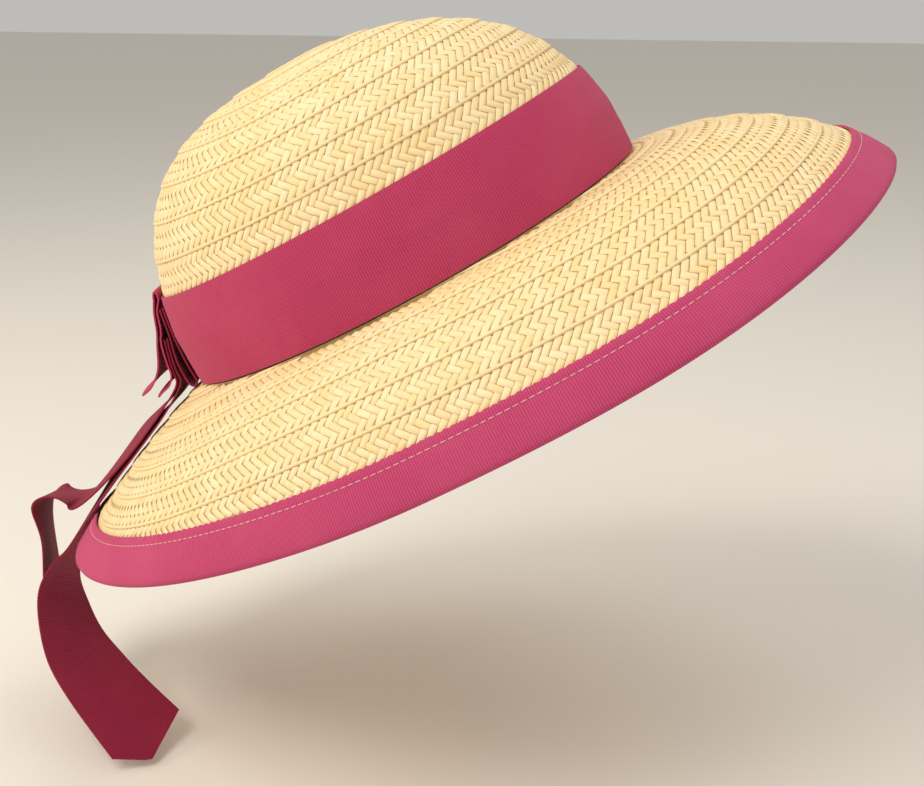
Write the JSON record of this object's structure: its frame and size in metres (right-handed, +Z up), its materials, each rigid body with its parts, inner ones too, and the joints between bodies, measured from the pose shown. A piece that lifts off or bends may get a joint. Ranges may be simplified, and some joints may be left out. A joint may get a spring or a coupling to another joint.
{
  "type": "wide-brimmed straw poke bonnet",
  "caption": "Sewn straw braid bonnet with a wide turned-down brim bound in ribbon, a ribbon band, a folded bow at the back and two hanging ribbon tails.",
  "frame": {"origin": "centre of the head opening's oval, where the crown meets the brim and the hat sits on a head", "axes": "+X forward as worn, +Y to the wearer's left, +Z up; the bonnet is tipped back about the origin, as the picture shows it"},
  "size_m": [0.3631, 0.2694, 0.3069],
  "materials": {
    "straw": "matte sewn straw braid",
    "band_ribbon": "matte ribbed ribbon",
    "binding_ribbon": "matte ribbed ribbon",
    "tail_ribbon": "matte ribbed ribbon"
  },
  "bodies": {
    "root": {"crown": "straw", "brim": "straw", "ribbon_band": "band_ribbon", "brim_binding": "binding_ribbon", "bow_loop": "tail_ribbon", "bow_flap": "band_ribbon", "tail_near": "tail_ribbon", "tail_far": "tail_ribbon"}
  },
  "joints": []
}
